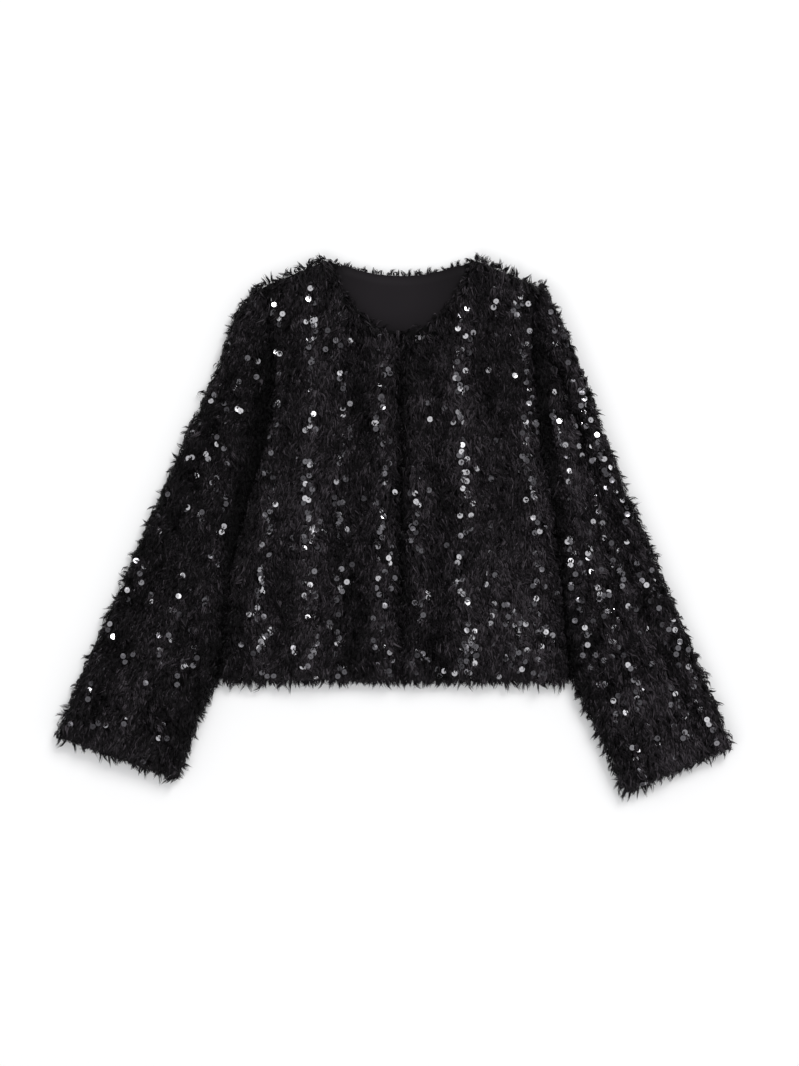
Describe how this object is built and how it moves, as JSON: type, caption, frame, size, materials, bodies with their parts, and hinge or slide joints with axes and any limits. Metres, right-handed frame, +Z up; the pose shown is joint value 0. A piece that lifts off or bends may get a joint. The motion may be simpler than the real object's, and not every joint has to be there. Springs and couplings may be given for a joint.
{
  "type": "cropped faux fur jacket",
  "caption": "Cropped collarless open-front jacket in shaggy sequinned faux fur, with long straight sleeves, laid flat with its front up",
  "frame": {"origin": "middle of the jacket's outline, on the surface that it lies on", "axes": "+X across the jacket towards the wearer's left sleeve, +Y from the hem to the neck, +Z up out of the surface"},
  "size_m": [0.856, 0.6734, 0.0322],
  "materials": {
    "pile_cloth": "black shaggy faux fur pile with round dark sequins",
    "lining": "smooth near-black woven lining with a soft sheen"
  },
  "bodies": {
    "root": {"back": "pile_cloth", "back_lining": "lining", "right_front": "pile_cloth", "left_front": "pile_cloth", "right_sleeve": "pile_cloth", "left_sleeve": "pile_cloth"}
  },
  "joints": []
}
